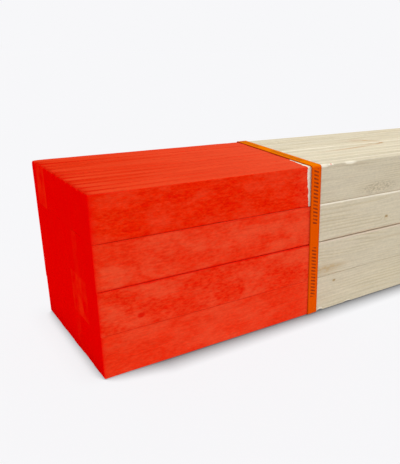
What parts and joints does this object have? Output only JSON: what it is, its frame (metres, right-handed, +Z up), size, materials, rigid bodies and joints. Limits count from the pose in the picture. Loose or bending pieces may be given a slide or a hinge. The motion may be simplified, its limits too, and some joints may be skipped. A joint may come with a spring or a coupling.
{
  "type": "bundle of survey lath",
  "caption": "Strapped bundle of sawn wooden survey laths, blunt at both ends, with one end dipped in red marking paint.",
  "frame": {"origin": "centre of the bundle on the surface it lies on", "axes": "+X along the laths away from the painted end, +Y towards the side with the straps' laps, +Z up"},
  "size_m": [1.2293, 0.1398, 0.1552],
  "materials": {
    "lath_wood": "rough sawn, one end painted red",
    "strapping": "embossed polypropylene"
  },
  "bodies": {
    "root": {"lath_course_1": "lath_wood", "lath_course_2": "lath_wood", "lath_course_3": "lath_wood", "lath_course_4": "lath_wood", "strap_painted_end": "strapping", "strap_plain_end": "strapping"}
  },
  "joints": []
}
